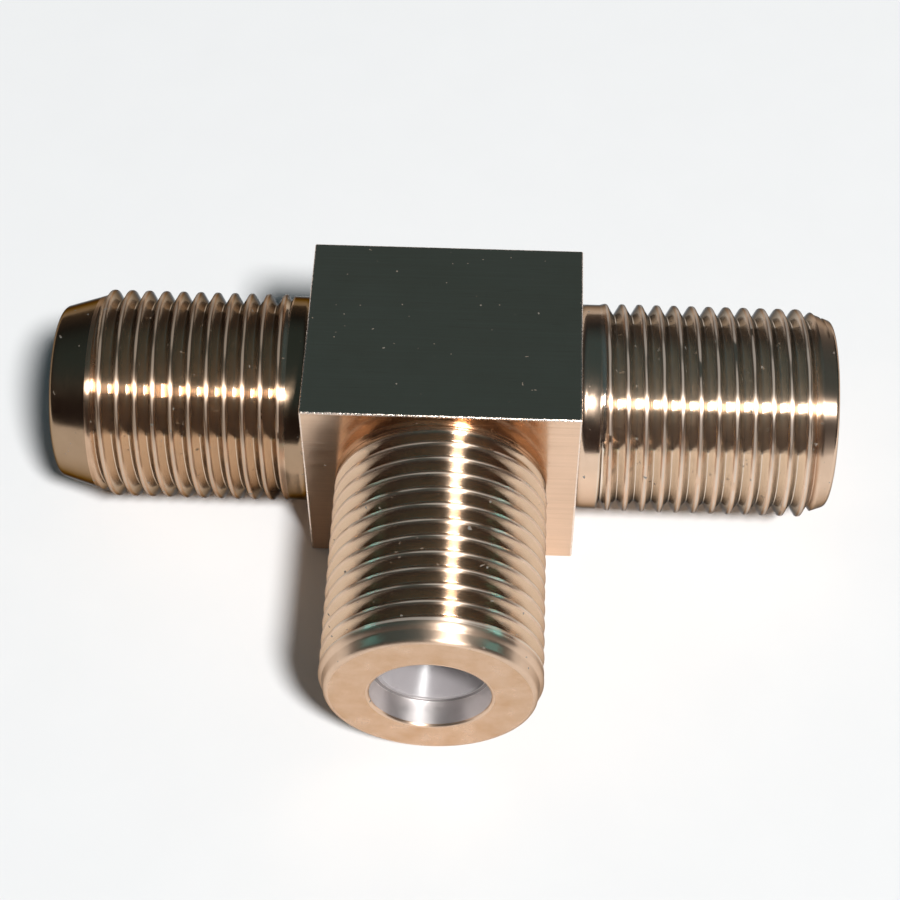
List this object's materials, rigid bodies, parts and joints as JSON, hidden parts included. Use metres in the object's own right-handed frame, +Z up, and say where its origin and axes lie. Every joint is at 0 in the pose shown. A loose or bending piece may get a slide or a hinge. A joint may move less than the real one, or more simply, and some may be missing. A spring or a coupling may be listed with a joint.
{
  "type": "coaxial t-adapter",
  "caption": "T-shaped coaxial adapter: a plated metal block with threaded barrels left, right and front, each with a recessed white insulator that funnels a wire into a spring socket.",
  "frame": {"origin": "centre of the block's bottom face, straight under the crossing of the port axes", "axes": "+X along the straight run towards the right barrel, -Y along the branch barrel, +Z up"},
  "size_m": [0.0351, 0.0203, 0.0106],
  "materials": {
    "nickel_plate": "bright warm nickel plate over turned brass",
    "white_plastic": "glossy white moulded plastic",
    "spring_bronze": "bare spring bronze"
  },
  "bodies": {
    "root": {"through_body": "nickel_plate", "branch_barrel": "nickel_plate", "left_insulator": "white_plastic", "right_insulator": "white_plastic", "branch_insulator": "white_plastic", "through_contact": "spring_bronze", "branch_contact": "spring_bronze"}
  },
  "joints": []
}
